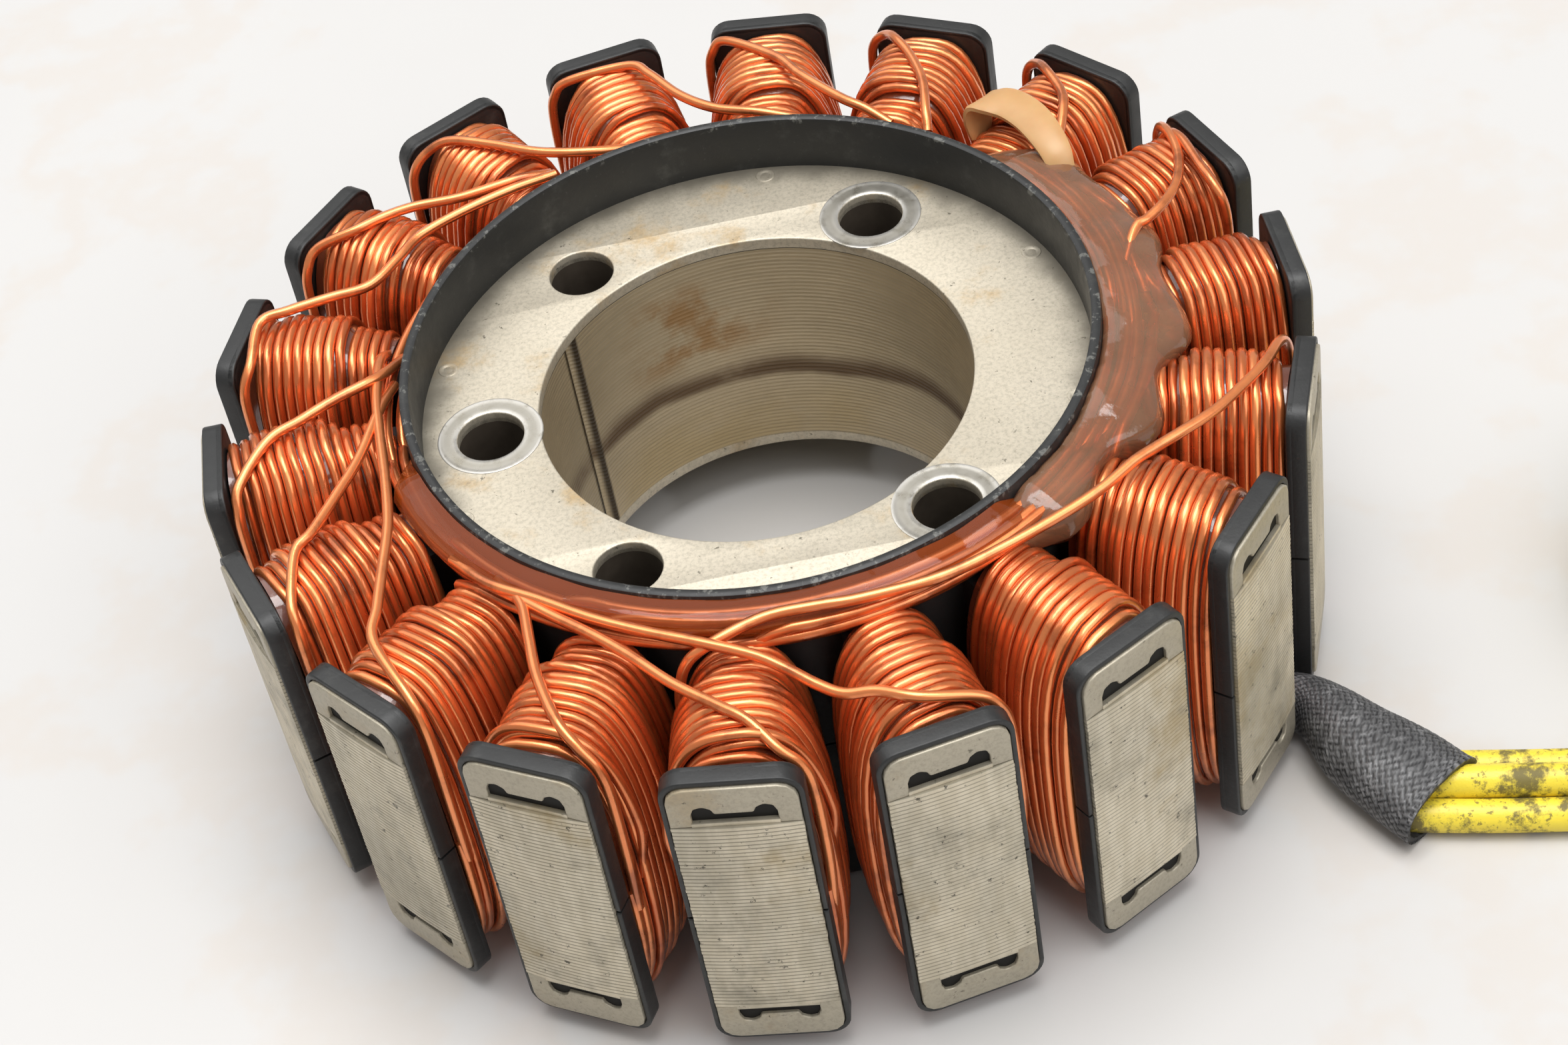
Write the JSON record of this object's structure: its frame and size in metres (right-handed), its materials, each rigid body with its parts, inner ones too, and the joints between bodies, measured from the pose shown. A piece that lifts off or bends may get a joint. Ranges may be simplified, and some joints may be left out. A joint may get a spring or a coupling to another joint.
{
  "type": "wound stator",
  "caption": "Wound stator of an outer-rotor machine: laminated steel core, varnished coils on outward teeth, black moulded insulators, central bore with mounting holes, sleeved yellow leads.",
  "frame": {"origin": "bore axis, in the outer face of the lower end plate", "axes": "+Z along the bore axis, towards the end with the higher wiring and resin; +X along one tooth, near the lead exit at 30 degrees clockwise; the lone mounting hole lies on -X"},
  "size_m": [0.2193, 0.1098, 0.0424],
  "materials": {
    "core_steel": "satin",
    "black_moulding": "satin",
    "varnished_winding": "gloss",
    "clear_brown_resin": "gloss",
    "amber_tube": "satin",
    "black_braid": "matte",
    "yellow_insulation": "satin",
    "white_housing": "satin"
  },
  "bodies": {
    "root": {"stator_core": "core_steel", "upper_insulator": "black_moulding", "lower_insulator": "black_moulding", "coil_01": "varnished_winding", "coil_02": "varnished_winding", "coil_03": "varnished_winding", "coil_04": "varnished_winding", "coil_05": "varnished_winding", "coil_06": "varnished_winding", "coil_07": "varnished_winding", "coil_08": "varnished_winding", "coil_09": "varnished_winding", "coil_10": "varnished_winding", "coil_11": "varnished_winding", "coil_12": "varnished_winding", "coil_13": "varnished_winding", "coil_14": "varnished_winding", "coil_15": "varnished_winding", "coil_16": "varnished_winding", "coil_17": "varnished_winding", "coil_18": "varnished_winding", "front_crossover_wires": "varnished_winding", "rear_crossover_wires": "varnished_winding", "potting_resin": "clear_brown_resin", "amber_loop": "amber_tube", "lead_sleeve": "black_braid", "lead_1": "yellow_insulation", "lead_2": "yellow_insulation", "lead_3": "yellow_insulation", "lead_coil": "yellow_insulation", "lead_connector": "white_housing"}
  },
  "joints": []
}
